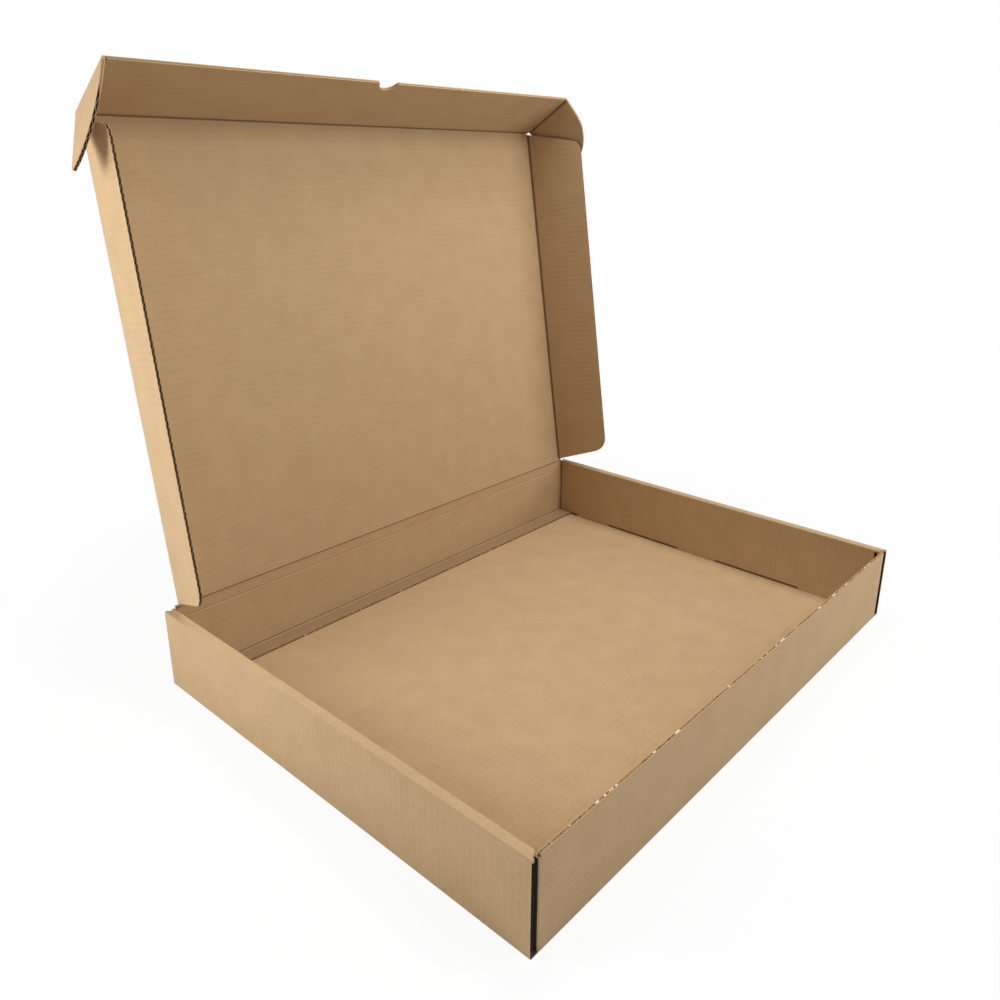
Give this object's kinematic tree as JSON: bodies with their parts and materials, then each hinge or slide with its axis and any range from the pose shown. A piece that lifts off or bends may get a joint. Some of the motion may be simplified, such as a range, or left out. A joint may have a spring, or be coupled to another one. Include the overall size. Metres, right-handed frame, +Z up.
{
  "type": "cardboard box",
  "caption": "Shallow corrugated mailer box with rolled double side walls and an open lid that has side flaps, a tuck flap and two ears.",
  "frame": {"origin": "middle of the tray's underside", "axes": "+X along the hinge of the lid, +Y from the front wall to the rear wall, +Z up out of the tray"},
  "size_m": [0.64, 0.5251, 0.5657],
  "materials": {
    "kraft_board": "brown kraft liner on corrugated board, matt"
  },
  "bodies": {
    "tray": {"tray": "kraft_board", "rear_wall": "kraft_board"},
    "lid": {"lid_panel": "kraft_board"},
    "right_lid_flap": {"right_lid_flap": "kraft_board"},
    "left_lid_flap": {"left_lid_flap": "kraft_board"},
    "tuck_flap": {"tuck_flap": "kraft_board"},
    "right_ear": {"right_ear": "kraft_board"},
    "left_ear": {"left_ear": "kraft_board"}
  },
  "joints": [
    {"name": "lid_fold", "type": "hinge", "parent": "tray", "child": "lid", "pos_m": [0, 0.2276, 0.0814], "axis": [-1, 0, 0], "range_deg": [-98.6, 81.4]},
    {"name": "right_flap_fold", "type": "hinge", "parent": "lid", "child": "right_lid_flap", "pos_m": [0.29, 0.2276, 0.0814], "axis": [0, 0.1495, 0.9888], "range_deg": [-25, 80]},
    {"name": "left_flap_fold", "type": "hinge", "parent": "lid", "child": "left_lid_flap", "pos_m": [-0.29, 0.2276, 0.0814], "axis": [0, -0.1495, -0.9888], "range_deg": [-25, 80]},
    {"name": "tuck_fold", "type": "hinge", "parent": "lid", "child": "tuck_flap", "pos_m": [0, 0.29471, 0.52515], "axis": [-1, 0, 0], "range_deg": [-29, 66.7]},
    {"name": "right_ear_fold", "type": "hinge", "parent": "tuck_flap", "child": "right_ear", "pos_m": [0.2935, 0.29471, 0.52515], "axis": [0, -0.849, 0.5284], "range_deg": [-20, 72]},
    {"name": "left_ear_fold", "type": "hinge", "parent": "tuck_flap", "child": "left_ear", "pos_m": [-0.2935, 0.29471, 0.52515], "axis": [0, 0.849, -0.5284], "range_deg": [-26, 66]}
  ],
  "couplings": [
    {"joint": "right_flap_fold", "follows": "lid_fold", "ratio": 0.25},
    {"joint": "left_flap_fold", "follows": "lid_fold", "ratio": 0.25},
    {"joint": "tuck_fold", "follows": "lid_fold", "ratio": 0.2875},
    {"joint": "right_ear_fold", "follows": "lid_fold", "ratio": 0.195},
    {"joint": "left_ear_fold", "follows": "lid_fold", "ratio": 0.261}
  ]
}
